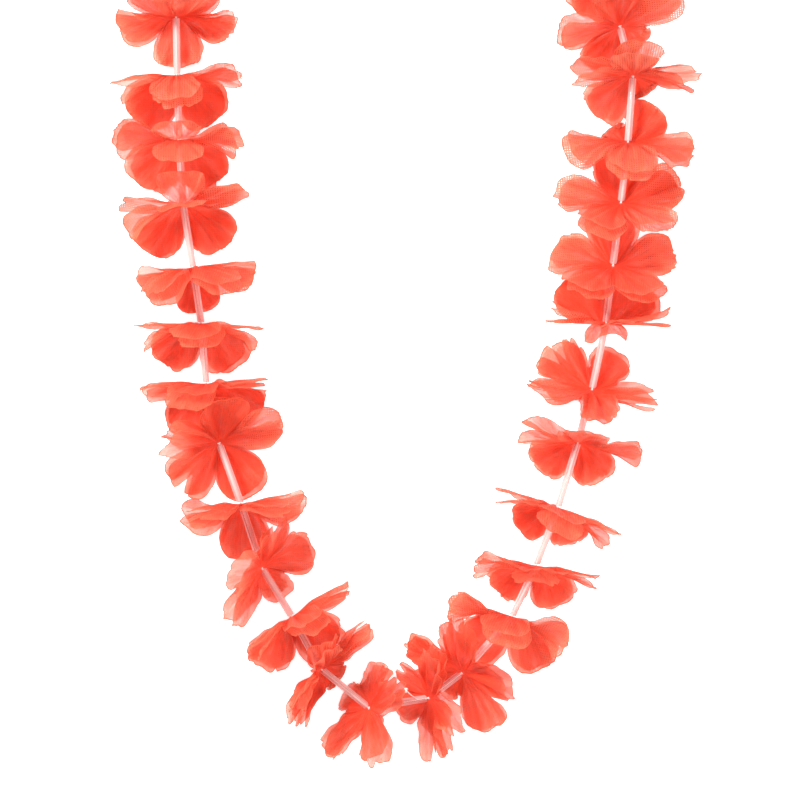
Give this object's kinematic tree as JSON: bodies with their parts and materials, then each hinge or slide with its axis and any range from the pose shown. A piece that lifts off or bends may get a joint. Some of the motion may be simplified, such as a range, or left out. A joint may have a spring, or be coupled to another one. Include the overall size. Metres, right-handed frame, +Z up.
{
  "type": "artificial flower lei",
  "caption": "Thin cloth flowers with layered rounded petals, strung on a thread with a length of clear straw between each and the next, laid flat as a closed loop.",
  "frame": {"origin": "middle of the loop's bounding box, on the surface it lies on", "axes": "+Z up from the surface; +Y along the loop's length, away from the end that hangs at the chest; +X to the right as the picture shows it"},
  "size_m": [0.2947, 0.5112, 0.0442],
  "materials": {
    "petal_cloth": "thin open-woven polyester, matt, lets light through",
    "straw_and_thread": "clear glossy straw with a white thread through it"
  },
  "bodies": {
    "root": {"flower_01": "petal_cloth", "flower_02": "petal_cloth", "flower_03": "petal_cloth", "flower_04": "petal_cloth", "flower_05": "petal_cloth", "flower_06": "petal_cloth", "flower_07": "petal_cloth", "flower_08": "petal_cloth", "flower_09": "petal_cloth", "flower_10": "petal_cloth", "flower_11": "petal_cloth", "flower_12": "petal_cloth", "flower_13": "petal_cloth", "flower_14": "petal_cloth", "flower_15": "petal_cloth", "flower_16": "petal_cloth", "flower_17": "petal_cloth", "flower_18": "petal_cloth", "flower_19": "petal_cloth", "flower_20": "petal_cloth", "flower_21": "petal_cloth", "flower_22": "petal_cloth", "flower_23": "petal_cloth", "flower_24": "petal_cloth", "flower_25": "petal_cloth", "flower_26": "petal_cloth", "flower_27": "petal_cloth", "flower_28": "petal_cloth", "flower_29": "petal_cloth", "flower_30": "petal_cloth", "flower_31": "petal_cloth", "flower_32": "petal_cloth", "flower_33": "petal_cloth", "flower_34": "petal_cloth", "flower_35": "petal_cloth", "flower_36": "petal_cloth", "strung_straws_and_thread": "straw_and_thread"}
  },
  "joints": []
}
